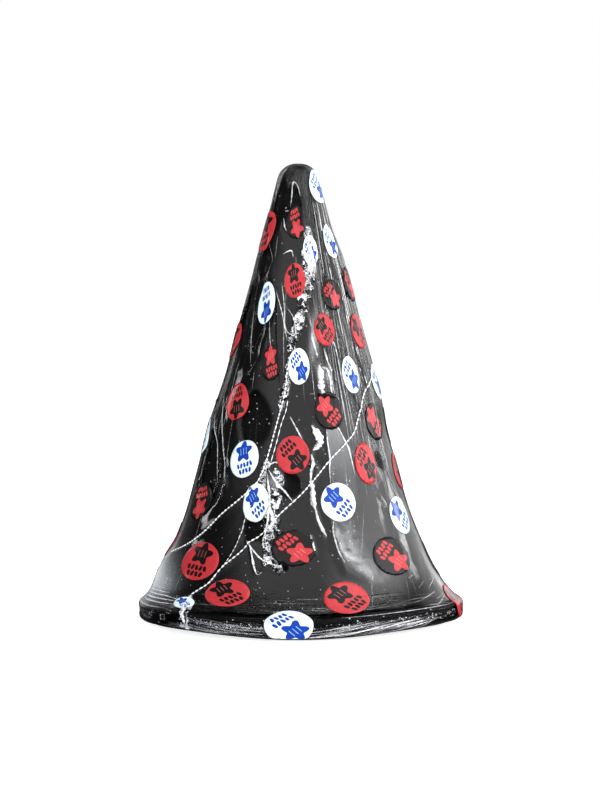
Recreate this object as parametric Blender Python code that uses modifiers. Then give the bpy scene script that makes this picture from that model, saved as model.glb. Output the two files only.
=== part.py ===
"""New year party hat: a tall black foam cone with a thick flat brim, wrapped in clear film that carries round
printed discs. It stands on its brim with its axis on Z. Its front is -Y, and azimuths turn from there towards +X.
"""

import math

import bmesh
import bpy
from mathutils import Vector

MM = 0.001

# Driving dimensions, in metres
TOTAL_HEIGHT = 0.3775
BRIM_RADIUS = 0.1345
HEAD_RADIUS = 0.0955
FOAM_WALL = 0.003
FILM_WALL = 0.0004
GAP = 0.0003

# The film's outside, from the tip down
TAPER = 0.271
TIP_RADIUS = 0.0170
FLARE_START = (0.0861, 0.108)
FLARE_PULL_ABOVE = 0.045
FLARE_PULL_BELOW = 0.0186
TOP_CORNER_RADIUS = 0.0045
TOP_CORNER_HEIGHT = 0.0125
TOP_CORNER_TURN = math.radians(60)
BOTTOM_CORNER_RADIUS = 0.0035
HEM_HEIGHT = 0.0025
HEM_RADIUS = 0.117

# The brim, from the table up
FACING_TOP = 0.0022
FACING_RADIUS = 0.124
BRIM_BOTTOM = 0.0032
BRIM_TOP = 0.0170
BRIM_INNER_RADIUS = HEAD_RADIUS + 0.0043
FOAM_BRIM_RADIUS = 0.1322
BRIM_ROUNDING = 0.0035
EDGE_BAND_INNER_RADIUS = 0.1325
EDGE_BAND_WALL = 0.0006
EDGE_BAND_SPAN = (0.0070, 0.0125)

# The crown's foot, which stands nearly upright on the brim
CROWN_TOP = TOTAL_HEIGHT - 0.0020
CROWN_TIP_RADIUS = 0.0135
CROWN_FOOT = ((0.0897, 0.080), (0.0988, 0.058), (0.1040, 0.040), (0.1056, 0.026))
FLANGE_TURN_HEIGHT = 0.0215
FLANGE_RADIUS = 0.1130
FLANGE_TOP = BRIM_TOP + GAP + FOAM_WALL

# Inside the crown
BAND_WALL = 0.0040
BAND_SPAN = (0.0028, 0.0430)
TAPE_WIDTH = 0.020
TAPE_WALL = 0.0005
TAPE_SPAN = (0.084, 0.300)

STEPS = 48

# The printed discs
DISC_LIFT = 0.0005
DISC_WALL = 0.00035
DISC_SIDES = 12
DISC_HEIGHT_AT_TIP = 0.0275
DISC_HEIGHT_AT_BRIM = 0.034
DISC_WIDTH_AT_BRIM = 0.042
DISC_WIDTH_LEAST = 0.017
DISC_WIDTH_POWER = 0.8
DISC_CUTS = (-0.5, 0.0, 0.5)
MOST_CUT = 0.95

# Each row is one line of the film's repeat, as (kind, ((azimuth in degrees, height in mm), ...)).
# The rows right of the front seam fall to the right, the way the film was wrapped.
DISC_ROWS = (
    ("white", ((-4, 13),)),
    ("red", ((-30, 34), (18, 31), (80, 18))),
    ("black", ((-3, 70), (46, 60), (91, 49))),
    ("white", ((-24, 105), (21, 105), (63, 90))),
    ("red", ((-4, 143), (43, 134), (81, 124))),
    ("black", ((21, 177), (60, 166), (93, 160))),
    ("white", ((0, 213), (44, 205), (80, 197))),
    ("red", ((25, 242), (67, 239))),
    ("black", ((40, 270), (74, 277))),
    ("white", ((18, 306), (56, 313))),
    ("white", ((58, 358),)),
    ("black", ((-4, 330),)),
    ("red", ((-4, 282), (-70, 322), (-83, 232))),
    ("white", ((-38, 264),)),
    ("black", ((-23, 216), (-65, 102))),
    ("red", ((-50, 184),)),
    ("white", ((-84, 153), (-35, 139))),
    ("red", ((-91, 65), (-50, 56))),
    ("white", ((-93, 27), (-48, 23))),
)

# Behind, every third row of the repeat is modelled: (kind, height in mm, first azimuth in degrees)
BACK_ROWS = (("red", 40, 130), ("white", 110, 144), ("black", 180, 130), ("red", 250, 140))
BACK_DISCS_PER_ROW = 3
BACK_PITCH = 42

DISC_COLOURS = {
    "red": (0.72, 0.035, 0.05),
    "white": (0.72, 0.83, 0.90),
    "black": (0.018, 0.014, 0.014),
}


def clear_scene():
    for obj in list(bpy.data.objects):
        bpy.data.objects.remove(obj, do_unlink=True)


def material(name, colour, roughness, metallic=0.0, alpha=1.0):
    made = bpy.data.materials.new(name)
    made.use_nodes = True
    shader = made.node_tree.nodes["Principled BSDF"]
    shader.inputs["Base Color"].default_value = (*colour, 1.0)
    shader.inputs["Roughness"].default_value = roughness
    shader.inputs["Metallic"].default_value = metallic
    shader.inputs["Alpha"].default_value = alpha
    made.diffuse_color = (*colour, alpha)
    return made


def arc(centre, radius, start, end, count):
    """Points on an arc in the radius and height plane. Angles are in radians, 0 pointing away from the axis."""
    points = []
    for i in range(count + 1):
        angle = start + (end - start) * i / count
        points.append((centre[0] + radius * math.cos(angle), centre[1] + radius * math.sin(angle)))
    return points


def bezier(start, pull_start, pull_end, end, count):
    points = []
    for i in range(count + 1):
        t = i / count
        weights = ((1 - t) ** 3, 3 * t * (1 - t) ** 2, 3 * t * t * (1 - t), t ** 3)
        corners = (start, pull_start, pull_end, end)
        points.append(tuple(sum(w * c[axis] for w, c in zip(weights, corners)) for axis in (0, 1)))
    return points


def tip_dome(radius, centre_height, count):
    """The rounded tip, from the axis down to where the cone starts."""
    dome = arc((0.0, centre_height), radius, math.pi / 2, math.atan(TAPER), count)
    return [(0.0, dome[0][1])] + dome[1:]


def film_outline():
    """The film's outer line as (radius, height), from the tip down, round the brim and in under it."""
    points = tip_dome(TIP_RADIUS, TOTAL_HEIGHT - TIP_RADIUS, 5)
    lean = math.hypot(TAPER, 1.0)
    pull_above = (
        FLARE_START[0] + FLARE_PULL_ABOVE * TAPER / lean,
        FLARE_START[1] - FLARE_PULL_ABOVE / lean,
    )
    corner = (BRIM_RADIUS - TOP_CORNER_RADIUS, TOP_CORNER_HEIGHT)
    corner_arc = arc(corner, TOP_CORNER_RADIUS, TOP_CORNER_TURN, 0.0, 2)
    start = corner_arc[0]
    pull_below = (
        start[0] - FLARE_PULL_BELOW * math.sin(TOP_CORNER_TURN),
        start[1] + FLARE_PULL_BELOW * math.cos(TOP_CORNER_TURN),
    )
    points += bezier(FLARE_START, pull_above, pull_below, start, 10)
    points += corner_arc[1:]
    low_corner = (BRIM_RADIUS - BOTTOM_CORNER_RADIUS, HEM_HEIGHT + BOTTOM_CORNER_RADIUS)
    points += arc(low_corner, BOTTOM_CORNER_RADIUS, 0.0, -math.pi / 2, 3)
    points.append((HEM_RADIUS, HEM_HEIGHT))
    return points


def crown_outline():
    """The crown's outer line, set back from the film, down to the flange that is glued on the brim."""
    points = tip_dome(CROWN_TIP_RADIUS, CROWN_TOP - CROWN_TIP_RADIUS, 4)
    points += CROWN_FOOT
    turn = (CROWN_FOOT[-1][0] + 0.0006, FLANGE_TURN_HEIGHT)
    return points + [turn, (turn[0] + 0.0014, FLANGE_TOP), (FLANGE_RADIUS, FLANGE_TOP)]


def place(azimuth, radius, height):
    return Vector((radius * math.sin(azimuth), -radius * math.cos(azimuth), height))


class Outline:
    """A turned outline that says where a point lies, from the distance down it and its azimuth."""

    def __init__(self, points):
        self.points = [Vector(point) for point in points]
        self.distances = [0.0]
        for a, b in zip(self.points, self.points[1:]):
            self.distances.append(self.distances[-1] + (b - a).length)
        faces = [(b - a).normalized() for a, b in zip(self.points, self.points[1:])]
        runs = [faces[0]] + [(a + b).normalized() for a, b in zip(faces, faces[1:])] + [faces[-1]]
        self.outward = [Vector((-run.y, run.x)) for run in runs]

    def span(self, distance):
        for i in range(len(self.distances) - 2):
            if distance < self.distances[i + 1]:
                return i
        return len(self.distances) - 2

    def at(self, distance):
        """(point, outward direction) in the radius and height plane."""
        i = self.span(distance)
        part = (distance - self.distances[i]) / (self.distances[i + 1] - self.distances[i])
        point = self.points[i].lerp(self.points[i + 1], part)
        return point, self.outward[i].lerp(self.outward[i + 1], part).normalized()

    def distance_at_height(self, height):
        for i, (a, b) in enumerate(zip(self.points, self.points[1:])):
            if a.y >= height > b.y:
                part = (a.y - height) / (a.y - b.y)
                return self.distances[i] + part * (self.distances[i + 1] - self.distances[i])
        return self.distances[-1]

    def surface(self, azimuth, distance, lift):
        point, outward = self.at(distance)
        lifted = point + outward * lift
        return place(azimuth, lifted.x, lifted.y)


def add_object(name, mesh, collection, finish):
    obj = bpy.data.objects.new(name, mesh)
    mesh.materials.append(finish)
    collection.objects.link(obj)
    return obj


def shade(obj, angle=35):
    obj.data.shade_smooth()
    obj.data.set_sharp_from_angle(angle=math.radians(angle))


def turned(name, outline, collection, finish, closed=True, wall=None):
    """A turned piece: a closed section, or an open outer line that Solidify gives a wall."""
    mesh = bpy.data.meshes.new(name)
    ends = list(range(len(outline)))
    edges = list(zip(ends, ends[1:]))
    if closed:
        edges.append((ends[-1], 0))
    mesh.from_pydata([(radius, 0.0, height) for radius, height in outline], edges, [])
    obj = add_object(name, mesh, collection, finish)
    screw = obj.modifiers.new("Turn", "SCREW")
    screw.axis = "Z"
    screw.steps = STEPS
    screw.render_steps = STEPS
    screw.use_merge_vertices = True
    screw.merge_threshold = 0.00001
    screw.use_smooth_shade = True
    if wall:
        thicken = obj.modifiers.new("Wall", "SOLIDIFY")
        thicken.thickness = wall
        thicken.offset = -1.0
        thicken.use_even_offset = True
    return obj


def make_film(collection):
    finish = material("clear_film", (0.75, 0.78, 0.80), 0.08, alpha=0.25)
    return turned("film_sleeve", film_outline(), collection, finish, closed=False, wall=FILM_WALL)


def make_crown(collection):
    foam = material("black_glitter_foam", (0.012, 0.012, 0.013), 0.45)
    return turned("crown_cone", crown_outline(), collection, foam, closed=False, wall=FOAM_WALL)


def make_seam_tape(collection):
    """The strip down the back inside the crown, over the joint of the rolled foam sheet."""
    line = Outline(crown_outline())
    top = line.distance_at_height(TAPE_SPAN[1])
    bottom = line.distance_at_height(TAPE_SPAN[0])
    mesh = bpy.data.meshes.new("crown_seam_tape")
    strip = bmesh.new()
    bmesh.ops.create_grid(strip, x_segments=5, y_segments=2, size=1.0)
    depth = -(FOAM_WALL + 2 * GAP)
    for vertex in strip.verts:
        distance = bottom + (top - bottom) * (vertex.co.y + 1) / 2
        sideways = vertex.co.x * TAPE_WIDTH / 2
        inner_radius = line.at(distance)[0].x + depth
        vertex.co = line.surface(math.pi + sideways / inner_radius, distance, depth)
    bmesh.ops.recalc_face_normals(strip, faces=strip.faces)
    strip.to_mesh(mesh)
    strip.free()
    tape = add_object("crown_seam_tape", mesh, collection, material("cloth_tape", (0.02, 0.02, 0.02), 0.8))
    thicken = tape.modifiers.new("Wall", "SOLIDIFY")
    thicken.thickness = TAPE_WALL
    thicken.offset = 0.0
    shade(tape)
    return tape


def ring_section(inner, outer, bottom, top):
    return [(inner, top), (outer, top), (outer, bottom), (inner, bottom)]


def make_brim(collection):
    foam = material("black_brim_foam", (0.012, 0.012, 0.013), 0.5)
    section = ring_section(BRIM_INNER_RADIUS, FOAM_BRIM_RADIUS, BRIM_BOTTOM, BRIM_TOP)
    brim = turned("brim_ring", section, collection, foam)
    rounding = brim.modifiers.new("Rounding", "BEVEL")
    rounding.width = BRIM_ROUNDING
    rounding.segments = 2
    rounding.limit_method = "ANGLE"
    rounding.angle_limit = math.radians(40)
    glitter = material("glitter_band", (0.05, 0.05, 0.055), 0.35, metallic=0.4)
    outer = EDGE_BAND_INNER_RADIUS + EDGE_BAND_WALL
    section = ring_section(EDGE_BAND_INNER_RADIUS, outer, *EDGE_BAND_SPAN)
    turned("brim_edge_band", section, collection, glitter)
    card = material("black_card", (0.02, 0.02, 0.02), 0.75)
    section = ring_section(BRIM_INNER_RADIUS, FACING_RADIUS, 0.0, FACING_TOP)
    turned("brim_facing", section, collection, card)
    return brim


def make_sweatband(collection):
    cloth = material("black_felt", (0.016, 0.016, 0.017), 0.95)
    section = ring_section(HEAD_RADIUS, HEAD_RADIUS + BAND_WALL, *BAND_SPAN)
    band = turned("sweatband", section, collection, cloth)
    rounding = band.modifiers.new("Rounding", "BEVEL")
    rounding.width = BAND_WALL / 3
    rounding.segments = 2
    rounding.limit_method = "ANGLE"
    rounding.angle_limit = math.radians(40)
    return band


def disc_width(radius):
    shrunk = DISC_WIDTH_AT_BRIM * (radius / BRIM_RADIUS) ** DISC_WIDTH_POWER
    return max(DISC_WIDTH_LEAST, shrunk)


def disc_height(radius):
    return DISC_HEIGHT_AT_TIP + (DISC_HEIGHT_AT_BRIM - DISC_HEIGHT_AT_TIP) * radius / BRIM_RADIUS


def make_disc(name, film, azimuth, height, collection, finish):
    """One printed disc: a flat circle, cut along the film's folds, laid on the film and given its thickness."""
    middle = film.distance_at_height(height)
    radius = film.at(middle)[0].x
    half_width = disc_width(radius) / 2
    half_height = disc_height(radius) / 2
    flat = bmesh.new()
    bmesh.ops.create_circle(flat, cap_ends=True, radius=1.0, segments=DISC_SIDES)
    folds = [(middle - distance) / half_height for distance in film.distances[1:-1]]
    lines = [(Vector((0, fold, 0)), Vector((0, 1, 0))) for fold in folds if abs(fold) < MOST_CUT]
    lines += [(Vector((cut, 0, 0)), Vector((1, 0, 0))) for cut in DISC_CUTS]
    for point, across in lines:
        everything = flat.verts[:] + flat.edges[:] + flat.faces[:]
        bmesh.ops.bisect_plane(flat, geom=everything, dist=1e-6, plane_co=point, plane_no=across)
    for vertex in flat.verts:
        turn = math.radians(azimuth) + vertex.co.x * half_width / radius
        vertex.co = film.surface(turn, middle - vertex.co.y * half_height, DISC_LIFT)
    bmesh.ops.recalc_face_normals(flat, faces=flat.faces)
    flat.faces.ensure_lookup_table()
    if flat.faces[0].normal.dot(place(math.radians(azimuth), 1.0, 0.0)) < 0:
        bmesh.ops.reverse_faces(flat, faces=flat.faces)
    mesh = bpy.data.meshes.new(name)
    flat.to_mesh(mesh)
    flat.free()
    disc = add_object(name, mesh, collection, finish)
    thicken = disc.modifiers.new("Thickness", "SOLIDIFY")
    thicken.thickness = DISC_WALL
    thicken.offset = 1.0
    shade(disc)
    return disc


def disc_places():
    """(kind, azimuth in degrees, height in metres) of every disc."""
    places = []
    for kind, row in DISC_ROWS:
        places += [(kind, azimuth, height * MM) for azimuth, height in row]
    for kind, height, first in BACK_ROWS:
        for i in range(BACK_DISCS_PER_ROW):
            places.append((kind, first + i * BACK_PITCH, height * MM))
    return places


def make_discs(collection):
    film = Outline(film_outline())
    finishes = {kind: material(f"{kind}_print", colour, 0.3) for kind, colour in DISC_COLOURS.items()}
    made = dict.fromkeys(DISC_COLOURS, 0)
    for kind, azimuth, height in disc_places():
        made[kind] += 1
        make_disc(f"{kind}_disc_{made[kind]:02d}", film, azimuth, height, collection, finishes[kind])


def main():
    clear_scene()
    hat = bpy.data.collections.new("new_year_party_hat")
    bpy.context.scene.collection.children.link(hat)
    make_crown(hat)
    make_seam_tape(hat)
    make_brim(hat)
    make_sweatband(hat)
    make_film(hat)
    make_discs(hat)


main()
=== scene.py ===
"""The looks of the new year party hat: glitter foam, wrinkled clear film, and printed discs.

Places on the film are given as an azimuth in degrees, from the front (-Y) towards +X, and a height in mm.
"""

import math

import bmesh
import bpy
import numpy as np
from mathutils import Matrix, Vector
from mathutils.geometry import delaunay_2d_cdt


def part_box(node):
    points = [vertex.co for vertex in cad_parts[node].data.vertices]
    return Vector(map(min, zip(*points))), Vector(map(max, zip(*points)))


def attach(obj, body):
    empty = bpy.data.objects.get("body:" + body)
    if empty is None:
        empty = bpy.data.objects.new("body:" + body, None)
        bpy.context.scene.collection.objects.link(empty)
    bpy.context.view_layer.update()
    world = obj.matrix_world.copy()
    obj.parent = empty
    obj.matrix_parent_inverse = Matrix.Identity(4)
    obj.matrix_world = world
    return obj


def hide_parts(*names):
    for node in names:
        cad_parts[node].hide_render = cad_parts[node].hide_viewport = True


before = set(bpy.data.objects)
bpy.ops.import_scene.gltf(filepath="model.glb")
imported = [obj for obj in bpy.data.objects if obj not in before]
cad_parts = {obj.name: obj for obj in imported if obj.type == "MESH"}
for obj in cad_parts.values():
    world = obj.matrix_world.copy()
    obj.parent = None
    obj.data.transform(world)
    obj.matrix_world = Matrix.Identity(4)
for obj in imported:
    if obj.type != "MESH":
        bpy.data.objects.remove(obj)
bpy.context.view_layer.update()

MM = 0.001
ROOT = "root"

# The film's outside, as in the CAD model but for the brim's top corner, which is sharper here
BRIM_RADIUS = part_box("film_sleeve")[1][0]
TOTAL_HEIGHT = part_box("film_sleeve")[1][2]
TAPER = 0.271
TIP_RADIUS = 0.0170
FLARE_START = (0.0861, 0.108)
FLARE_PULL_ABOVE = 0.045
FLARE_PULL_BELOW = 0.0186
TOP_CORNER_RADIUS = 0.0024
TOP_CORNER_HEIGHT = 0.0146
TOP_CORNER_TURN = math.radians(60)
BOTTOM_CORNER_RADIUS = 0.0035
HEM_HEIGHT = 0.0025
HEM_RADIUS = 0.117

# The foam, band, facing and tape, as in the CAD model
FOAM_WALL = 0.003
FOAM_GAP = 0.0003
CROWN_TOP = TOTAL_HEIGHT - 0.0020
CROWN_TIP_RADIUS = 0.0135
CROWN_FOOT = ((0.0897, 0.080), (0.0988, 0.058), (0.1040, 0.040), (0.1056, 0.026))
FLANGE_TURN = (0.1062, 0.0215)
FLANGE_RADIUS = 0.1130
TAPE_SPAN = (0.300, 0.084)
TAPE_WIDTH = 0.020
TAPE_GAP = 0.0007
BAND_WALL = 0.004
HEAD_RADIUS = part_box("sweatband")[1][0] - BAND_WALL
BRIM_INNER_RADIUS = 0.0998
BRIM_OUTER_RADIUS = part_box("brim_ring")[1][0]
BRIM_SPAN = (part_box("brim_ring")[0][2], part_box("brim_ring")[1][2])
BAND_SPAN = (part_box("sweatband")[0][2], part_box("sweatband")[1][2])

# What only this script gives them: how far the brim bends up, how uneven the foam is, and the band's thread
BRIM_BEND = 0.0026
WOBBLE = 0.0003
FOAM_COLOUR = (0.0014, 0.0014, 0.00147)
THREAD_RADIUS = 0.0003

# The point that the lights face, and the camera
LIT_POINT = Vector((0, 0, 0.19))
VIEW_ELEVATION = 3.6
VIEW_DISTANCE = 2.4
VIEW_HEIGHT = 0.6624
VIEW_TARGET = (0.0008, 0.0, 0.1822)
VIEW_ROLL = 0.4
SENSOR = 36.0

# How far the film sinks where it lies on the foam, and the least and most that its folds may stand off, in mm
FILM_GAP = 2.6
SHAPE_LIMITS = (-2.9, 3.6)

# The film's mesh: rows down the cone and over the brim, and steps round the front and the back in degrees
WELD_DISTANCE = 1e-7
CONE_ROWS = 156
BRIM_ROWS = 84
BRIM_PART = 0.052
FRONT_HALF_TURN = 110
FRONT_STEP = 0.7
BACK_STEP = 1.4

# Rows of printed discs, in the CAD's order: (kind, turn of the print in degrees, ((azimuth, height), ...))
DISC_ROWS = (
    ("white", 0, ((-4, 13),)),
    ("red", 180, ((-30, 34), (18, 31), (80, 18))),
    ("black", 0, ((-3, 70), (46, 60), (91, 49))),
    ("white", 180, ((-24, 105), (21, 105), (63, 90))),
    ("red", 0, ((-4, 143), (43, 134), (81, 124))),
    ("black", 180, ((21, 177), (60, 166), (93, 160))),
    ("white", 0, ((0, 213), (44, 205), (80, 197))),
    ("red", 180, ((25, 242), (67, 239))),
    ("black", 0, ((40, 270), (74, 277))),
    ("white", 0, ((18, 306), (56, 313))),
    ("white", 0, ((58, 358),)),
    ("black", -25, ((-4, 330),)),
    ("red", 155, ((-4, 282), (-70, 322), (-83, 232))),
    ("white", -25, ((-38, 264),)),
    ("black", 155, ((-23, 216),)),
    ("black", -25, ((-65, 102),)),
    ("red", -25, ((-50, 184),)),
    ("white", 155, ((-84, 153), (-35, 139))),
    ("red", 135, ((-91, 65), (-50, 56))),
    ("white", 180, ((-93, 27), (-48, 23))),
)
# Behind, the CAD models BACK_ROWS, and the rest of the repeat is added here:
# (kind, turn of the print, height, first azimuth)
BACK_ROWS = (
    ("red", 180, 40, 130), ("white", 0, 110, 144), ("black", 180, 180, 130), ("red", 0, 250, 140),
)
MORE_BACK_ROWS = (
    ("black", 0, 75, 122), ("red", 180, 145, 124), ("white", 0, 215, 122), ("black", 180, 285, 126),
    ("white", 0, 318, 140), ("red", 180, 346, 172),
)
# How many discs such a row has, by the height that it stays below, and their step in degrees
BACK_ROW_COUNTS = ((300, 3), (340, 2), (360, 1))
BACK_PITCH = 42
# Discs that the film's shrinking has left another size: (azimuth, height) to (width, height) in mm
OTHER_SIZES = {
    (-70, 322): (25, 34), (56, 313): (13, 29), (18, 306): (12, 26), (40, 270): (18, 26),
    (-38, 264): (19, 35), (25, 242): (18, 27), (-23, 216): (18, 30), (0, 213): (17, 30),
    (44, 205): (17, 31), (43, 134): (23, 34), (-24, 105): (22, 31), (-3, 70): (36, 30),
    (46, 60): (41, 33), (-50, 56): (42, 33), (-30, 34): (41, 26), (18, 31): (38, 30),
    (-48, 23): (24, 12), (-4, 13): (39, 29),
}
# The print, on a disc of radius 1: a star with three lines, and two rows of bars as (how many, offset)
PRINT_SLANT = math.radians(42)
STAR_CENTRE = (0.27, -0.29)
STAR_RADIUS = 0.60
STAR_LEAN = 0.3
BAR_ROWS = ((4, -0.66), (5, -0.34))
BAR_PITCH = 0.215

# Discs
DISC_LIFT = 0.0004
DISC_WALL = 0.00012
DISC_HEIGHT_AT_TIP = 0.0275
DISC_HEIGHT_AT_BRIM = 0.034
DISC_WIDTH_AT_BRIM = 0.042
DISC_WIDTH_LEAST = 0.017
DISC_WIDTH_POWER = 0.8


# ---------------------------------------------------------------- noise


def noise(turns, down, cells_round, seed):
    """Smooth noise from -1 to 1 that closes on itself round the hat. down is counted in cells."""
    rows = 61
    table = np.random.default_rng(seed).random((cells_round, rows))
    x = np.mod(turns, 1.0) * cells_round
    y = np.asarray(down) + 200.0
    ix, iy = np.floor(x).astype(int), np.floor(y).astype(int)
    fx, fy = x - ix, y - iy
    fx, fy = fx * fx * (3 - 2 * fx), fy * fy * (3 - 2 * fy)

    def corner(i, j):
        return table[np.mod(ix + i, cells_round), np.mod(iy + j, rows)]

    low = corner(0, 0) * (1 - fx) + corner(1, 0) * fx
    high = corner(0, 1) * (1 - fx) + corner(1, 1) * fx
    return 2 * (low * (1 - fy) + high * fy) - 1


def ridged(turns, down, cells_round, seed):
    """Creases: 1 on a sharp crest, falling to 0 away from it."""
    return 1 - np.minimum(1, 2.2 * np.abs(noise(turns, down, cells_round, seed)))


def facets(x, y, size, seed, folds=7):
    """A crumpled sheet: flat facets between sharp folds in every direction, from -1 to 1."""
    draw = np.random.default_rng(seed)
    total = np.zeros_like(x)
    for _ in range(folds):
        angle, phase, scale = draw.uniform(0, math.pi), draw.uniform(0, 1), draw.uniform(0.7, 1.6)
        run = (x * math.cos(angle) + y * math.sin(angle)) / (size * scale) + phase
        total += 4 * np.abs(np.mod(run, 1.0) - 0.5) - 1
    return total / math.sqrt(folds) / 1.2


def smooth(value, low, high):
    """0 below low and 1 above high, with a smooth step between."""
    part = np.clip((value - low) / (high - low), 0, 1)
    return part * part * (3 - 2 * part)


def window(value, low, high, soft):
    """1 between low and high and 0 outside, with soft edges."""
    return smooth(value, low - soft, low + soft) * (1 - smooth(value, high - soft, high + soft))


def wrapped(degrees):
    """An azimuth brought to between -180 and 180 degrees."""
    return np.mod(degrees + 180.0, 360.0) - 180.0


# ---------------------------------------------------------------- outlines


def arc(centre, radius, start, end, count):
    angles = np.linspace(start, end, count + 1)
    return [(centre[0] + radius * math.cos(a), centre[1] + radius * math.sin(a)) for a in angles]


def bezier(start, pull_start, pull_end, end, count):
    t = np.linspace(0, 1, count + 1)[:, None]
    corners = [np.array(c) for c in (start, pull_start, pull_end, end)]
    weights = ((1 - t) ** 3, 3 * t * (1 - t) ** 2, 3 * t * t * (1 - t), t ** 3)
    return [tuple(point) for point in sum(w * c for w, c in zip(weights, corners))]


def tip_dome(radius, centre_height, count):
    """The rounded tip as (radius, height), from the axis down to where the cone starts."""
    dome = arc((0.0, centre_height), radius, math.pi / 2, math.atan(TAPER), count)
    return [(0.0, dome[0][1])] + dome[1:]


def film_outline():
    """The film's outer line as (radius, height), from the tip down, round the brim and in under it."""
    points = tip_dome(TIP_RADIUS, TOTAL_HEIGHT - TIP_RADIUS, 16)
    lean = math.hypot(TAPER, 1.0)
    pull_above = (
        FLARE_START[0] + FLARE_PULL_ABOVE * TAPER / lean,
        FLARE_START[1] - FLARE_PULL_ABOVE / lean,
    )
    corner = (BRIM_RADIUS - TOP_CORNER_RADIUS, TOP_CORNER_HEIGHT)
    corner_arc = arc(corner, TOP_CORNER_RADIUS, TOP_CORNER_TURN, 0.0, 6)
    start = corner_arc[0]
    pull_below = (
        start[0] - FLARE_PULL_BELOW * math.sin(TOP_CORNER_TURN),
        start[1] + FLARE_PULL_BELOW * math.cos(TOP_CORNER_TURN),
    )
    points += bezier(FLARE_START, pull_above, pull_below, start, 40)
    points += corner_arc[1:]
    low_corner = (BRIM_RADIUS - BOTTOM_CORNER_RADIUS, HEM_HEIGHT + BOTTOM_CORNER_RADIUS)
    points += arc(low_corner, BOTTOM_CORNER_RADIUS, 0.0, -math.pi / 2, 6)
    points.append((HEM_RADIUS, HEM_HEIGHT))
    return points


class Surface:
    """A turned surface, read by azimuth in degrees and distance down its outline in metres."""

    def __init__(self, outline):
        points = np.array(outline)
        steps = np.hypot(*np.diff(points, axis=0).T)
        distance = np.concatenate([[0], np.cumsum(steps)])
        self.length = distance[-1]
        self.distance = np.linspace(0, self.length, 1200)
        self.radius = np.interp(self.distance, distance, points[:, 0])
        self.height = np.interp(self.distance, distance, points[:, 1])
        run = np.gradient(np.stack([self.radius, self.height], -1), axis=0)
        kernel = np.ones(5) / 5
        for axis in (0, 1):
            run[2:-2, axis] = np.convolve(run[:, axis], kernel, "valid")
        run /= np.linalg.norm(run, axis=1)[:, None]
        self.out_r, self.out_z = -run[:, 1], run[:, 0]

    def at_height(self, height):
        """Distance down the outline of a height in metres."""
        return np.interp(-np.asarray(height), -self.height, self.distance)

    def height_at(self, distance):
        return np.interp(distance, self.distance, self.height)

    def radius_at(self, distance):
        return np.interp(distance, self.distance, self.radius)

    def read(self, distance):
        """Radius, height and outward direction, as (radial, upward), at a distance down the outline."""
        columns = (self.radius, self.height, self.out_r, self.out_z)
        return [np.interp(distance, self.distance, column) for column in columns]

    def point(self, azimuth, distance, lift):
        r, z, nr, nz = self.read(distance)
        angle = np.radians(azimuth)
        across = np.maximum(r + nr * lift, 0)
        return np.stack([across * np.sin(angle), -across * np.cos(angle), z + nz * lift], -1)


FILM = Surface(film_outline())


def crown_outline():
    points = tip_dome(CROWN_TIP_RADIUS, CROWN_TOP - CROWN_TIP_RADIUS, 12)
    points += CROWN_FOOT
    flange_top = BRIM_SPAN[1] + FOAM_GAP + FOAM_WALL
    return points + [FLANGE_TURN, (FLANGE_TURN[0] + 0.0014, flange_top), (FLANGE_RADIUS, flange_top)]


# ---------------------------------------------------------------- the film's folds


def from_feature(azimuth, distance, place):
    """Millimetres across and down from a feature's place on the film."""
    radius = FILM.radius_at(distance)
    across = np.radians(wrapped(azimuth - place[0])) * radius / MM
    return across, (distance - FILM.at_height(place[1] * MM)) / MM


def from_patch(azimuth, distance, place, turn):
    """Millimetres along and across a feature that is turned in the film's surface, in degrees."""
    across, down = from_feature(azimuth, distance, place)
    c, s = math.cos(math.radians(turn)), math.sin(math.radians(turn))
    return across * c - down * s, across * s + down * c


def from_line(azimuth, distance, line):
    """(millimetres to the line, share of the way along it) of points on the film."""
    radius = FILM.radius_at(distance) / MM
    x = np.radians(wrapped(azimuth - line[0][0])) * radius
    y = distance / MM
    best = np.full(np.shape(x), 1e9)
    along = np.zeros(np.shape(x))
    spans = len(line) - 1
    for i in range(spans):
        ax, bx = (np.radians(line[k][0] - line[0][0]) * radius for k in (i, i + 1))
        ay, by = (FILM.at_height(line[k][1] * MM) / MM for k in (i, i + 1))
        lx, ly = bx - ax, by - ay
        part = np.clip(((x - ax) * lx + (y - ay) * ly) / (lx * lx + ly * ly + 1e-9), 0, 1)
        apart = np.hypot(x - ax - part * lx, y - ay - part * ly)
        nearer = apart < best
        best = np.where(nearer, apart, best)
        along = np.where(nearer, (i + part) / spans, along)
    return best, along


# Where the film lies on the foam: (azimuth, height, half width, half height in mm, turn in degrees)
PRESSED = (
    (-14, 340, 9, 21, 0),
    (-54, 296, 8, 13, 8),
    (-57, 250, 21, 38, 7),
    (-32, 170, 15, 21, 14),
    (-6, 118, 10, 9, 20),
    (-20, 86, 15, 8, 20),
    (56, 135, 3.5, 8, 16),
    (-9, 56, 7, 4, 0),
    (-62, 125, 18, 30, 10),
    (-74, 8, 44, 7, 0),
    (70, 16.5, 36, 5.5, 0),
    (6, 17, 125, 7.0, 0),
    (-48, 345, 9, 22, 0),
    (63, 11, 42, 7, 0),
)

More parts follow.
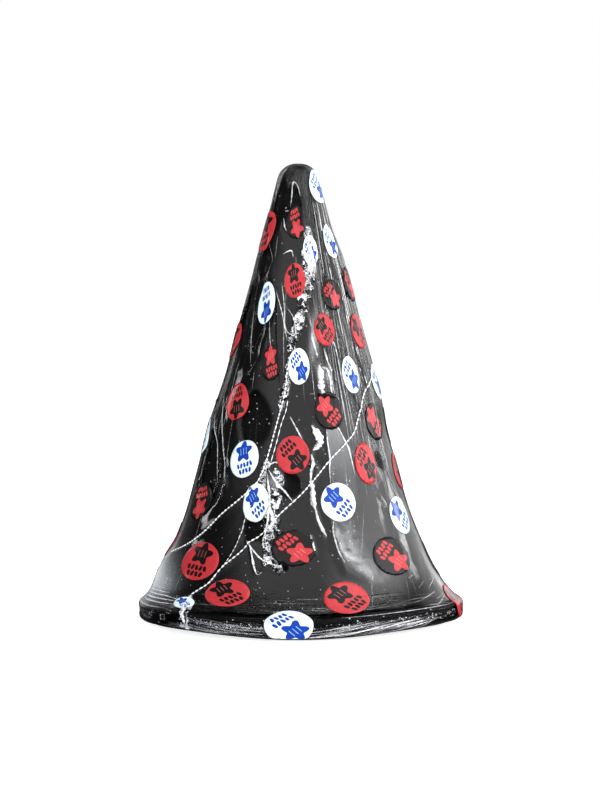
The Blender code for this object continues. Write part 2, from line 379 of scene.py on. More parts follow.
# Folds that stand up: (line, half width in mm, height in mm)
FOLDS = (
    (((8, 165), (13, 154), (7, 147), (6, 137), (10, 131), (6, 123), (6, 109), (7, 100), (9, 88), (11, 79)),
     2.2, 1.5),
    (((5, 80), (7, 66)), 1.2, 0.8),
    (((19, 164), (17, 153), (18, 135), (18, 120)), 1.2, 0.9),
    (((-6, 173), (2, 155)), 1.3, 0.9),
    (((14, 208), (14, 192), (26, 190), (29, 208), (22, 212)), 2.2, 1.4),
    (((6, 258), (15, 234), (16, 222)), 1.6, 1.0),
    (((15, 268), (21, 230), (25, 208)), 1.2, 0.8),
    (((15, 94), (17, 68), (20, 51), (29, 44)), 3.5, 1.4),
    (((-24, 73), (-19, 51), (-16, 51)), 1.3, 1.2),
    (((-26, 75), (-18, 62), (-11, 57)), 1.2, 0.9),
    (((-67, 190), (-55, 152), (-45, 118)), 1.3, 0.9),
    (((-80, 182), (-64, 152), (-54, 118)), 1.2, 0.8),
    (((-85, 260), (-80, 182)), 1.2, 0.8),
    (((30, 150), (44, 118), (52, 100)), 1.0, 0.6),
    (((52, 160), (62, 125), (70, 98)), 1.0, 0.6),
    (((35, 285), (42, 235), (40, 205), (48, 170)), 1.0, 0.8),
    (((50, 300), (55, 240), (60, 190)), 1.0, 0.8),
    (((-24, 275), (-20, 240), (-14, 200)), 1.0, 0.7),
    (((-17, 342), (-12, 361), (0, 359), (9, 345), (8, 318)), 1.1, 0.9),
    (((-30, 333), (-22, 325), (-14, 322)), 1.0, 0.7),
    (((-22, 303), (-10, 306), (0, 309)), 0.9, 0.6),
    (((-14, 265), (-5, 252), (-3, 236), (-13, 243), (-14, 265)), 0.9, 0.6),
)

# Painted highlights along the film's creases, as white ribbons: (line, half width in mm, strength)
HIGHLIGHT_CREASES = (
    (((8, 166), (12, 158), (13, 152), (8, 146)), 3.0, 0.95),
    (((7, 143), (8, 137), (7, 130), (6, 122)), 1.6, 0.9),
    (((6, 124), (7, 116), (7, 107), (8, 99)), 2.6, 0.9),
    (((8, 101), (9, 92), (11, 84), (13, 78)), 1.5, 0.9),
    (((5, 80), (7, 66)), 0.9, 0.9),
    (((-6, 173), (2, 155)), 0.7, 0.7),
    (((17, 214), (17.5, 208), (17, 201), (17, 195), (18, 189)), 2.9, 0.80),
    (((19, 212), (23, 210), (25, 205), (25, 198), (24.5, 190)), 1.7, 0.75),
    (((12, 240), (13.4, 232), (14.7, 226), (16, 219)), 1.3, 0.65),
    (((22, 227), (24.4, 216), (26, 206)), 0.7, 0.75),
    (((24, 264), (30, 238), (34, 226), (35, 190)), 0.5, 0.6),
    (((18, 166), (17.8, 154), (18.3, 142), (17.5, 131), (17.4, 119)), 0.6, 0.75),
    (((22, 171), (26, 164), (29.5, 154), (32, 144), (33, 134), (33.5, 124)), 0.6, 0.85),
    (((17.4, 92), (16.2, 84), (16.6, 76), (17.8, 66), (20, 57)), 0.7, 0.55),
    (((-18, 131), (-13, 121), (-8, 114), (-3, 105)), 0.8, 0.95),
    (((-19, 129), (-17, 115), (-16, 103), (-17, 90), (-18, 76)), 1.1, 0.95),
    (((-21, 132), (-14, 137), (-9, 131)), 0.6, 0.8),
    (((-26, 275), (-16, 254), (-10, 233)), 0.4, 0.8),
    (((-24, 73), (-19, 51), (-16, 51)), 0.8, 0.9),
    (((-26, 75), (-18, 62), (-11, 57)), 0.6, 0.85),
    (((-17, 342), (-12, 361), (0, 359), (7, 350)), 0.6, 0.55),
    (((-30, 333), (-24, 325), (-14, 322)), 0.6, 0.6),
    (((-22, 303), (-10, 306), (-6, 300)), 0.45, 0.8),
    (((-14, 262), (-5, 252), (-3, 238), (-12, 243), (-14, 262)), 0.4, 0.6),
    (((-20, 281), (-15, 262), (-13, 240)), 0.35, 0.7),
    (((-67, 190), (-55, 152), (-45, 118)), 0.5, 0.7),
    (((-78, 182), (-64, 152), (-54, 118)), 0.5, 0.7),
    (((-58, 262), (-52, 236), (-45, 214)), 0.35, 0.6),
    (((-30, 250), (-26, 232), (-22, 222)), 0.35, 0.45),
    (((-46, 30), (-45, 16), (-43, 6)), 1.3, 0.8),
    (((14, 17.4), (40, 17.2), (72, 17.4)), 0.45, 0.55),
    (((-96, 17.4), (-75, 17.2), (-56, 17.6)), 0.45, 0.6),
    (((-97, 19.6), (-77, 20.2), (-57, 20.8), (-50, 21)), 0.45, 0.95),
    (((-97, 21.6), (-80, 22.6), (-60, 23.4), (-52, 23.2)), 0.5, 0.95),
    (((-96, 24), (-78, 25.2), (-62, 26), (-50, 24.5)), 0.45, 0.9),
    (((-94, 26.5), (-74, 28), (-60, 28.6)), 0.45, 0.75),
    (((-90, 29.5), (-74, 31), (-64, 31)), 0.35, 0.6),
)
# Painted crease highlights that lie over the prints
HIGHLIGHTS_OVER_PRINTS = (
    (((10, 321), (15, 311), (19, 297), (21, 286)), 2.0, 0.40),
    (((16, 312), (20, 300), (23, 288)), 1.8, 0.70),
    (((12, 302), (15, 292), (17, 283)), 1.8, 0.70),
    (((-16, 103), (-14, 92), (-16, 82)), 1.6, 0.9),
)
# Fine straight painted highlights, along the film's fine creases:
# (how many, azimuths, heights, lengths in mm, lean in degrees per mm down, half width in mm, strength)
FINE_HIGHLIGHTS = (
    (46, (24, 118), (130, 335), (40, 110), 0.00, 0.24, 0.55),
    (26, (-112, -58), (70, 320), (30, 90), 0.03, 0.22, 0.50),
    (18, (-55, 24), (110, 330), (15, 50), 0.05, 0.20, 0.35),
    (34, (118, 248), (60, 330), (30, 100), 0.02, 0.24, 0.50),
    (16, (20, 110), (35, 120), (25, 60), -0.20, 0.22, 0.35),
)
# Fine painted highlights along the creases round the brim:
# (how many, azimuths, heights, turns in degrees, rises in mm, half width in mm, strength)
BRIM_HIGHLIGHTS = (
    (40, (6, 52), (3, 11), (10, 30), (2, 8), 0.20, 0.75),
    (34, (-46, 0), (3, 13), (8, 30), (-6, 2), 0.18, 0.35),
    (10, (-100, -66), (24, 46), (6, 16), (-8, 1), 0.25, 0.45),
    (16, (52, 95), (18, 44), (6, 18), (-2, 8), 0.25, 0.50),
    (50, (80, 270), (3, 24), (8, 34), (-4, 4), 0.20, 0.50),
    (30, (-45, 60), (17, 32), (8, 26), (-2, 2), 0.18, 0.20),
)
# How far the painted crease highlights lie above the film, the points along a seeded one, and the step along
# a ribbon's mesh
HIGHLIGHT_LIFT = 0.00012
OVER_PRINT_LIFT = 0.0009
RANDOM_STOPS = (0, 0.35, 0.7, 1.0)
RIBBON_STEP = 0.0007
# The lowest that a seeded painted highlight reaches, in mm
LEAST_FINE = 24
LEAST_BRIM = 2.7
# Painted reflections in the film, as soft pale patches: (azimuth, height, half width, half height in mm, turn
# in degrees, strength)
PAINTED_REFLECTIONS = (
    (17, 207, 2.5, 7, 0, 0.30),
    (23, 206, 2, 6, 0, 0.25),
    (14, 236, 3, 18, -8, 0.25),
    (-14, 122, 5, 6, 0, 0.18),
    (-88, 36, 32, 18, 0, 0.75),
    (-68, 32, 17, 10, 0, 0.16),
)
# A painted sheen: a paler stretch of film to the right of a crisp fold. Each edge is its heights, then its
# azimuths
SHEEN_FOLD = ((43, 55, 67, 78, 165), (28, 21, 18, 17, 18))
SHEEN_END = ((114, 146, 164), (33, 32, 26))
# Dimples in it, painted as darker spots in the painted sheen: (azimuth, height, half width, half height in
# mm)
SHEEN_DIMPLES = (
    (19, 64, 1.7, 2.2), (23, 68, 2.4, 1.8), (27, 76, 2.6, 2.0), (19, 88, 1.4, 3.0), (22, 60, 1.2, 1.6),
)

SEAM_LEFT = (
    (-9, 212), (-10, 194), (-12, 182), (-15, 166), (-18, 148),
    (-21, 131), (-25, 119), (-33, 108), (-44, 94), (-53, 79), (-63, 67), (-76, 57),
)
SEAM_RIGHT = (
    (-43, 8), (-44, 15), (-47, 21), (-47, 28), (-44, 34), (-40, 41), (-36, 53), (-28, 66), (-24, 74),
    (-18, 83), (-9, 98), (1, 112), (10, 126), (18, 138), (28, 149), (37, 159), (42, 169), (48, 181),
    (55, 191), (69, 202),
)
SEAM_BRANCH = ((-35, 55), (-31, 71), (-29, 88), (-28, 97), (-26, 104))
# A double row runs beside the left seam where the film is folded over
SEAM_DOUBLE = ((-8, 186), (-9, 178), (-12, 166), (-15, 148), (-18, 131))

# Crumpled film: (line, half width at its start, half width at its end in mm)
CRUMPLES = (
    (((14, 300), (10, 278), (4, 262), (-2, 246), (-6, 228)), 6.0, 4.0),
    (((-6, 228), (-8, 212), (-10, 196), (-12, 182)), 3.5, 2.5),
    (((-17, 106), (-15.5, 92), (-15, 76), (-14, 62)), 8.5, 7.0),
    (((-14, 66), (-11, 58), (-8, 53)), 5.0, 3.0),
    (((-14, 130), (-12, 126), (-12, 121)), 3.0, 4.2),
    (((-15, 113), (-12, 109), (-13, 103)), 3.6, 4.6),
    (((-19, 137), (-21, 126), (-20, 112)), 2.2, 3.4),
    (((-47, 28), (-45, 18), (-43, 8)), 4.5, 6.0),
    (((15, 322), (14, 300)), 4.0, 5.0),
)


def pressed_share(azimuth, distance, soft=0.11, shallow_under=1.0):
    """How far the film is pressed on the foam, from 0 to 1.

    soft is how gradual a patch's edge is. A patch of a half width under shallow_under, in mm, is shallower.
    """
    total = np.zeros(np.shape(azimuth))
    ragged = 0.12 * noise(azimuth / 360, distance / 0.010, 40, 5)
    for az, height, half_width, half_height, turn in PRESSED:
        x, y = from_patch(azimuth, distance, (az, height), turn)
        reach = np.hypot(x / half_width, y / half_height) + ragged
        depth = min(1, half_width / shallow_under)
        total = np.maximum(total, depth * (1 - smooth(reach, 0.97 - soft, 0.97 + soft)))
    return total


def crumple_share(azimuth, distance):
    """How crumpled the film is, from 0 to 1."""
    total = np.zeros(np.shape(azimuth))
    ragged = 1 + 0.55 * noise(azimuth / 360, distance / 0.005, 110, 8)
    for line, start, end in CRUMPLES:
        apart, along = from_line(azimuth, distance, line)
        reach = start + (end - start) * along
        total = np.maximum(total, 1 - smooth(apart / (reach * ragged), 0.7, 1.0))
    return total


def painted_reflection_share(azimuth, distance):
    """How much painted reflection and painted sheen the film carries as white, from 0 to 1."""
    total = np.zeros(np.shape(azimuth))
    for az, height, half_width, half_height, turn, strength in PAINTED_REFLECTIONS:
        x, y = from_patch(azimuth, distance, (az, height), turn)
        total += strength * np.exp(-((x / half_width) ** 2) - (y / half_height) ** 2)
    return np.clip(total + painted_sheen_share(azimuth, distance), 0, 1)


def painted_sheen_share(azimuth, distance):
    """The painted sheen of the paler stretch: a little all over it, and more at its upper and lower ends."""
    height = FILM.height_at(distance) / MM
    grain = noise(azimuth / 360, distance / 0.0026, 210, 61)
    wander = noise(azimuth / 360, distance / 0.009, 60, 63) * (1 - smooth(height, 70, 90))
    beyond = azimuth - np.interp(height, *SHEEN_FOLD) - 0.5 * grain - 1.3 * wander
    step = smooth(beyond, -0.3, 0.7 + 6.5 * (1 - smooth(height, 50, 72)))
    plain = 0.014 * (1 - smooth(azimuth, 90, 118)) * window(height, 40, 172, 8)
    past_end = smooth(azimuth - np.interp(height, *SHEEN_END), -1, 1)
    upper = (0.03 + 0.13 * smooth(height, 118, 170)) * (1 - past_end)
    upper *= window(height, 108, 168, 5)
    lower = (0.22 + 0.22 * (1 - smooth(height, 58, 84))) * np.exp(-((np.maximum(beyond, 0) / 9) ** 2))
    lower *= window(height, 45, 88, 8)
    lower *= 0.80 + 0.35 * grain + 0.45 * noise(azimuth / 360, distance / 0.006, 84, 62)
    for az, tall, half_width, half_height in SHEEN_DIMPLES:
        across, down = from_feature(azimuth, distance, (az, tall))
        reach = np.hypot(across / half_width, down / half_height)
        lower *= 1 - 0.85 * (1 - smooth(reach, 0.6, 1.1))
    return step * (plain + upper + lower)


def line_share(azimuth, distance):
    """Where the film is gathered in lines down the hat, from 0 to 1."""
    height = FILM.height_at(distance) / MM
    right = window(azimuth, 22, 118, 8) * window(height, 188, 352, 14)
    right_low = 0.55 * window(azimuth, 34, 62, 6) * window(height, 125, 200, 18)
    tip = 0.3 * smooth(height, 338, 356)
    left = 0.3 * window(azimuth, -112, -66, 9) * window(height, 120, 335, 30)
    behind = 0.6 * (1 - window(azimuth, -120, 120, 12)) * window(height, 60, 350, 30)
    return np.max([right, right_low, tip, left, behind], axis=0)


def hoop_share(azimuth, distance):
    """Where the film is drawn in lines round the brim, from 0 to 1."""
    height = FILM.height_at(distance) / MM
    down = distance / MM - FILM.at_height(0.030) / MM
    front = 0.55 * window(azimuth, -44, 40, 8) * smooth(down, -14, 6)
    right = window(azimuth, 8, 50, 9) * (1 - smooth(height, 14, 20))
    left = window(azimuth, -84, -40, 6) * window(height, 15, 27, 3)
    behind = 0.6 * (1 - window(azimuth, -115, 115, 8)) * smooth(down, -10, 8)
    return np.max([front, right, left, behind], axis=0)


def bulge(azimuth, height):
    """Millimetres by which the hat is fuller than a true cone on either side. height is in mm."""
    right = 3.4 * window(azimuth, 55, 140, 24) * window(height, 172, 318, 22)
    left = 3.6 * window(azimuth, -140, -58, 24) * window(height, 40, 185, 26)
    flare = 3.6 * window(azimuth, -135, -62, 22) * window(height, 30, 58, 13)
    return right + left + flare + 1.2 * window(azimuth, 40, 140, 20) * smooth(height, 318, 340)


def film_shape(azimuth, distance):
    """How far the film stands off its even outline, in metres, outward."""
    azimuth = wrapped(np.asarray(azimuth, float))
    distance = np.asarray(distance, float)
    turns = azimuth / 360
    radius = FILM.radius_at(distance)
    height = FILM.height_at(distance) / MM
    x, y = np.radians(azimuth) * radius / MM, distance / MM
    on_side = smooth(height, 2.4, 6)
    lines, hoops = line_share(azimuth, distance), hoop_share(azimuth, distance)
    shape = 0.55 * noise(turns, distance / 0.055, 9, 1) + 0.25 * noise(turns, distance / 0.022, 21, 2)
    shape *= smooth(height, 14, 40)
    shape += lines * (
        0.75 * (ridged(turns, distance / 0.40, 46, 3) - 0.4)
        + 0.40 * (ridged(turns, distance / 0.30, 104, 4) - 0.4)
    )
    shape += hoops * 0.35 * (ridged(turns, distance / 0.0042, 14, 6) - 0.4)
    shape += hoops * 0.18 * (ridged(turns, distance / 0.0026, 22, 7) - 0.4)
    for line, half_width, tall in FOLDS:
        apart, _ = from_line(azimuth, distance, line)
        shape += tall * np.exp(-((apart / half_width) ** 2))
    for line in (SEAM_LEFT, SEAM_RIGHT, SEAM_BRANCH):
        apart, _ = from_line(azimuth, distance, line)
        shape += 0.5 * np.exp(-apart / 1.6)
    crumple = crumple_share(azimuth, distance)
    shape += crumple * (0.9 * facets(x, y, 6.5, 11) + 0.45 * facets(x, y, 3.2, 12))
    pressed = pressed_share(azimuth, distance, 0.3, 9)
    sunk = -FILM_GAP * smooth(height, 20, 60) * (1 - smooth(height, 345, 372))
    shape = shape * (1 - 0.75 * pressed) + pressed * sunk
    fade_at_tip = smooth(distance / MM, 1.0, 14.0)
    return MM * (np.clip(shape, *SHAPE_LIMITS) + bulge(azimuth, height)) * fade_at_tip * on_side


def brim_rise(azimuth, height):
    """How far the brim is bent up, in metres, each side of its front. height is in metres."""
    azimuth = wrapped(azimuth)
    bend = np.where(np.abs(azimuth) < 90, np.sin(np.radians(2 * azimuth)) ** 2, 0)
    return BRIM_BEND * bend * (1 - smooth(np.asarray(height) / MM, 12, 45))


def film_point(azimuth, distance, lift=0.0):
    """Points on the wrinkled film, or lifted off it by some metres."""
    point = FILM.point(azimuth, distance, film_shape(azimuth, distance) + lift)
    point[..., 2] += brim_rise(azimuth, point[..., 2])
    return point


# ---------------------------------------------------------------- meshes


def link(name, data):
    """A new object in the scene."""
    obj = bpy.data.objects.new(name, data)
    bpy.context.scene.collection.objects.link(obj)
    return obj


def thicken(obj, thickness, offset):
    """Gives a sheet its thickness: all outward for an offset of 1, and half each way for 0."""
    modifier = obj.modifiers.new("Thickness", "SOLIDIFY")
    modifier.thickness = thickness
    modifier.offset = offset


def add_mesh(name, vertices, faces, finishes, face_finish=None):
    mesh = bpy.data.meshes.new(name)
    mesh.from_pydata([tuple(v) for v in vertices], [], [tuple(int(i) for i in f) for f in faces])
    mesh.validate()
    obj = link(name, mesh)
    for finish in finishes:
        mesh.materials.append(finish)
    if face_finish is not None:
        mesh.polygons.foreach_set("material_index", np.asarray(face_finish, np.int32))
    mesh.shade_smooth()
    return obj


def grid_faces(rows, columns, closed_round=True):
    """Quads between rows of points. They face out when rows run down and columns run from the front to +X."""
    last = columns if closed_round else columns - 1
    i, j = np.meshgrid(np.arange(rows - 1), np.arange(last), indexing="ij")
    a = i * columns + j
    b = i * columns + (j + 1) % columns
    return np.stack([a, a + columns, b + columns, b], -1).reshape(-1, 4)


def put_attribute(obj, name, values):
    made = obj.data.attributes.new(name, "FLOAT", "POINT")
    made.data.foreach_set("value", np.asarray(values, np.float32))


def put_uv(obj, azimuth, distance):
    """A UV layer that follows the film: u goes round in turns, v goes down in metres."""
    layer = obj.data.uv_layers.new(name="around")
    loops = np.empty(len(obj.data.loops), np.int32)
    obj.data.loops.foreach_get("vertex_index", loops)
    u = np.mod(azimuth / 360 + 0.5, 1.0)[loops]
    starts = np.empty(len(obj.data.polygons), np.int32)
    obj.data.polygons.foreach_get("loop_start", starts)
    first = np.repeat(u[starts], np.diff(np.append(starts, len(loops))))
    u = np.where(first - u > 0.5, u + 1, np.where(u - first > 0.5, u - 1, u))
    uv = np.stack([u, distance[loops]], -1).astype(np.float32)
    layer.data.foreach_set("uv", uv.reshape(-1))


def put_gathers(obj, azimuth, distance):
    """What film_normal reads."""
    put_attribute(obj, "crumple", crumple_share(azimuth, distance))
    put_attribute(obj, "lines", line_share(azimuth, distance))
    put_attribute(obj, "hoops", hoop_share(azimuth, distance))
    put_uv(obj, azimuth, distance)


def ride(obj, slot, *replaced):
    """Fixes a piece to the hat's one body, and hides the CAD nodes that it stands for. Its finish's slot is
    not used.
    """
    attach(obj, ROOT)
    if replaced:
        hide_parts(*replaced)


def turned(name, section, finish, columns, wobble=0.0, seed=1, bulging=0.0):
    """A closed section turned round the axis, with a hand-made wobble and a share of the film's bulges."""
    points = np.array(section)
    azimuth = np.linspace(0, 360, columns, endpoint=False)
    grid_az, grid_r = np.meshgrid(azimuth, points[:, 0])
    _, grid_z = np.meshgrid(azimuth, points[:, 1])
    shake = wobble * noise(grid_az / 360, grid_z / 0.03, 17, seed)
    shake += 0.5 * wobble * noise(grid_az / 360, grid_z / 0.012, 53, seed + 1)
    shake += bulging * MM * bulge(wrapped(grid_az), grid_z / MM)
    radius = np.where(grid_r > 1e-6, np.maximum(grid_r + shake, 1e-5), 0)
    angle = np.radians(grid_az)
    grid_z = grid_z + brim_rise(grid_az, grid_z)
    vertices = np.stack([radius * np.sin(angle), -radius * np.cos(angle), grid_z], -1).reshape(-1, 3)
    faces = grid_faces(len(points), columns)
    if points[0][0] > 1e-6:
        closing = grid_faces(2, columns)
        closing = np.where(closing < columns, closing + (len(points) - 1) * columns, closing - columns)
        faces = np.concatenate([faces, closing])
    obj = add_mesh(name, vertices, faces, [finish])
    weld(obj)
    return obj


def weld(obj):
    """Joins the points that lie on each other, such as those on the axis."""
    work = bmesh.new()
    work.from_mesh(obj.data)
    bmesh.ops.remove_doubles(work, verts=work.verts, dist=WELD_DISTANCE)
    work.to_mesh(obj.data)
    work.free()


def rounded_section(inner, outer, bottom, top, rounding, count=5):
    """A ring's section with rounded corners, as (radius, height), from the inner top round the outside."""
    section = []
    for r, z, start in (
        (inner + rounding, top - rounding, math.pi),
        (outer - rounding, top - rounding, math.pi / 2),
        (outer - rounding, bottom + rounding, 0.0),
        (inner + rounding, bottom + rounding, -math.pi / 2),
    ):
        section += arc((r, z), rounding, start, start - math.pi / 2, count)
    return section


# ---------------------------------------------------------------- materials


class Nodes:
    """A material's or the world's node tree, with short calls for the nodes used here."""

    def __init__(self, owner, output="ShaderNodeOutputMaterial"):
        owner.use_nodes = True
        self.owner = owner
        self.tree = owner.node_tree
        self.tree.nodes.clear()
        self.output = self.tree.nodes.new(output)

    def put(self, socket, value):
        if isinstance(value, bpy.types.NodeSocket):
            self.tree.links.new(value, socket)
        else:
            socket.default_value = value

    def add(self, kind, inputs=None, **settings):
        node = self.tree.nodes.new(kind)
        for key, value in settings.items():
            setattr(node, key, value)
        for key, value in (inputs or {}).items():
            self.put(node.inputs[key], value)
        return node

    def math(self, operation, a, b=0.0, clamp=False):
        return self.add("ShaderNodeMath", {0: a, 1: b}, operation=operation, use_clamp=clamp).outputs[0]

    def times(self, a, b):
        return self.math("MULTIPLY", a, b)

    def plus(self, a, b, clamp=False):
        return self.math("ADD", a, b, clamp)

    def over(self, value, least):
        """1 where a value is over the least, and 0 elsewhere."""
        return self.math("GREATER_THAN", value, least)

    def object_point(self):
        return self.add("ShaderNodeTexCoord").outputs["Object"]

    def noise(self, point, scale, detail=3.0, roughness=0.6):
        inputs = {"Vector": point, "Scale": scale, "Detail": detail, "Roughness": roughness}
        return self.add("ShaderNodeTexNoise", inputs).outputs["Fac"]

    def cells(self, point, scale):
        """(distance to the cell's middle, two random numbers for each cell)."""
        made = self.add("ShaderNodeTexVoronoi", {"Vector": point, "Scale": scale}, feature="F1")
        pick = self.add("ShaderNodeSeparateColor", {"Color": made.outputs["Color"]})
        return made.outputs["Distance"], pick.outputs[0], pick.outputs[1]

    def ramp(self, value, low, high, to_low=0.0, to_high=1.0, kind="LINEAR"):
        inputs = {"Value": value, "From Min": low, "From Max": high, "To Min": to_low, "To Max": to_high}
        return self.add("ShaderNodeMapRange", inputs, interpolation_type=kind).outputs["Result"]

    def blend_colour(self, share, a, b):
        a, b = (c if isinstance(c, bpy.types.NodeSocket) else (*c, 1) for c in (a, b))
        return self.add("ShaderNodeMix", {0: share, 6: a, 7: b}, data_type="RGBA").outputs[2]

    def bump(self, height, distance, strength):
        inputs = {"Height": height, "Distance": distance, "Strength": strength}
        return self.add("ShaderNodeBump", inputs).outputs["Normal"]

    def attribute(self, name):
        return self.add("ShaderNodeAttribute", attribute_name=name, attribute_type="GEOMETRY").outputs["Fac"]

    def shader(self, kind, **inputs):
        """A shader's output. The inputs' names have _ for each space."""
        return self.add(kind, {key.replace("_", " "): value for key, value in inputs.items()}).outputs[0]

    def blend_shader(self, share, a, b):
        return self.add("ShaderNodeMixShader", {0: share, 1: a, 2: b}).outputs[0]

    def finish(self, shader):
        self.put(self.output.inputs["Surface"], shader)
        return self.owner


def material_nodes(name):
    return Nodes(bpy.data.materials.new(name))


def shades(colour, darker, paler):
    """A darker and a paler shade of a colour."""
    return tuple(c * darker for c in colour), tuple(min(1.0, c * paler) for c in colour)


def glitter_foam(name, speck_share=0.03, rough=0.5, silver=0.55):
    """Black closed-cell foam with fine silver glitter bedded in it."""
    n = material_nodes(name)
    point = n.object_point()
    apart, pick, tilt = n.cells(point, 620.0)
    speck = n.times(n.over(pick, 1 - speck_share), n.math("LESS_THAN", apart, 0.36))
    ground = n.blend_colour(n.noise(point, 60.0), *shades(FOAM_COLOUR, 1, 2))
    grain = n.plus(n.noise(point, 900.0, 2.0), n.times(tilt, n.times(speck, 1.5)))
    return n.finish(n.shader(
        "ShaderNodeBsdfPrincipled",
        Base_Color=n.blend_colour(speck, ground, (silver, silver, silver * 1.06)),
        Normal=n.bump(grain, 0.0004, 0.5),
        Roughness=n.ramp(speck, 0.0, 1.0, rough, 0.22),
        Metallic=n.times(speck, 0.35),
        Specular_IOR_Level=0.10,
    ))


def plain_soft(name, colour, scale, depth, rough, sheen=0.0):
    """Matte cloth, felt or card: mottled colour and a fine raised grain."""
    n = material_nodes(name)
    point = n.object_point()
    grain = n.noise(point, scale, 4.0, 0.7)
    return n.finish(n.shader(
        "ShaderNodeBsdfPrincipled",
        Base_Color=n.blend_colour(n.noise(point, scale * 0.12), *shades(colour, 0.65, 1.35)),
        Normal=n.bump(grain, depth, 0.8),
        Sheen_Weight=sheen,
        Roughness=n.ramp(grain, 0.3, 0.7, rough - 0.08, rough + 0.05),
    ))


def film_normal(n):
    """The film's fine gathers, from the attributes that its mesh and the prints' meshes carry."""
    uv = n.add("ShaderNodeUVMap", uv_map="around").outputs[0]
    stretched, hooped = (
        n.add("ShaderNodeMapping", {"Vector": uv, "Scale": scale}).outputs[0]
        for scale in ((150.0, 2.6, 1.0), (11.0, 520.0, 1.0))
    )
    down_ridges, round_ridges = (
        n.times(n.math("ABSOLUTE", n.math("SUBTRACT", n.noise(place, 1.0, 2.0, 0.5), 0.5)), -3.0)
        for place in (stretched, hooped)
    )
    across = n.add("ShaderNodeSeparateXYZ", {0: uv}).outputs[0]
    swayed = n.plus(n.times(across, 118.0), n.times(n.noise(stretched, 0.25, 2.0), 1.6))
    comb = n.math("ABSOLUTE", n.math("SINE", n.times(swayed, math.pi)))
    lines = n.times(n.plus(n.times(down_ridges, 0.7), n.times(comb, -0.45)), n.attribute("lines"))
    hoops = n.times(round_ridges, n.attribute("hoops"))
    facets_apart, _, _ = n.cells(n.object_point(), 420.0)
    facet = n.times(facets_apart, n.attribute("crumple"))
    height = n.plus(n.plus(lines, hoops), n.times(facet, 1.6))
    soft = n.times(n.noise(n.object_point(), 45.0, 2.0), 0.5)
    return n.bump(n.plus(height, soft), 0.0012, 0.9)


def printed(name, colour):
    """Ink on the film: an even colour with slight mottle, under the film's gloss."""
    n = material_nodes(name)
    mottle = n.noise(n.object_point(), 260.0)
    return n.finish(n.shader(
        "ShaderNodeBsdfPrincipled",
        Base_Color=n.blend_colour(n.ramp(mottle, 0.35, 0.65), *shades(colour, 0.90, 1.06)),
        Roughness=n.ramp(mottle, 0.3, 0.7, 0.30, 0.39),
        Specular_IOR_Level=0.1,
        Coat_Weight=0.9,
        Coat_Roughness=0.05,
        Coat_Normal=film_normal(n),
    ))


def painted_crumple_glints(n):
    """Painted glints in the crumpled film: pale shards and threads between small clear facets."""
    point = n.object_point()
    shaken = n.add("ShaderNodeTexNoise", {"Vector": point, "Scale": 300.0, "Detail": 2.0}).outputs["Color"]
    shake = (0.004, 0.004, 0.004)
    shaken = n.add("ShaderNodeVectorMath", {0: shaken, 1: shake}, operation="MULTIPLY").outputs[0]
    point = n.add("ShaderNodeVectorMath", {0: point, 1: shaken}, operation="ADD").outputs[0]
    _, pick, other = n.cells(point, 330.0)
    edge_inputs = {"Vector": point, "Scale": 480.0}
    edges = n.add("ShaderNodeTexVoronoi", edge_inputs, feature="DISTANCE_TO_EDGE").outputs[0]
    glint_threads = n.times(n.ramp(edges, 0.04, 0.11, 0.95, 0.0), n.ramp(other, 0.45, 0.55))
    glint_shards = n.plus(n.times(n.over(pick, 0.66), 0.16), n.times(n.over(pick, 0.88), 0.60))
    return n.math("MAXIMUM", glint_shards, glint_threads)


def clear_film():
    """Thin clear shrink film: glossy, with painted white glints where it is crumpled and painted reflections
    and sheen in places, and unseen where it lies on the foam.
    """
    n = material_nodes("clear_shrink_film")
    normal = film_normal(n)
    fresnel = n.add("ShaderNodeFresnel", {"IOR": 1.5, "Normal": normal}).outputs[0]
    both_faces = n.math("MULTIPLY", fresnel, 1.7, clamp=True)
    gloss_share = n.times(both_faces, n.ramp(n.attribute("pressed"), 0.0, 1.0, 1.0, 0.07))
    gloss = n.shader("ShaderNodeBsdfGlossy", Color=(1, 1, 1, 1), Roughness=0.05, Normal=normal)
    # Painted white, for the painted glints, reflections and sheen
    painted_white = n.shader("ShaderNodeBsdfDiffuse", Color=(0.86, 0.87, 0.90, 1), Normal=normal)
    film = n.blend_shader(gloss_share, n.shader("ShaderNodeBsdfTransparent"), gloss)
    # How much painted white: the crumple's painted glints and the painted reflection attribute
    crumpled = n.ramp(n.attribute("crumple"), 0.35, 0.6)
    painted_glints_and_reflections = n.plus(n.times(crumpled, painted_crumple_glints(n)), n.attribute("painted_reflection"), clamp=True)
    return n.finish(n.blend_shader(painted_glints_and_reflections, film, painted_white))


def seam_weld():
    """The film's crimped weld: glossy plastic, painted pale and mottled as the glints along its crimps."""
    n = material_nodes("film_weld")
    colour = n.blend_colour(n.noise(n.object_point(), 500.0), (0.62, 0.63, 0.66), (0.95, 0.95, 0.97))
    return n.finish(n.shader("ShaderNodeBsdfPrincipled", Base_Color=colour, Roughness=0.25))


def painted_highlight_film():
    """Painted crease highlights: film painted white by each ribbon's strength."""
    n = material_nodes("painted_highlight_film")
    clear = n.shader("ShaderNodeBsdfTransparent")
    white = n.shader("ShaderNodeBsdfDiffuse", Color=(0.88, 0.89, 0.92, 1))
    broken = n.ramp(n.noise(n.object_point(), 420.0), 0.40, 0.58, 0.55, 1.0)
    return n.finish(n.blend_shader(n.times(n.attribute("strength"), broken), clear, white))


# ---------------------------------------------------------------- pieces


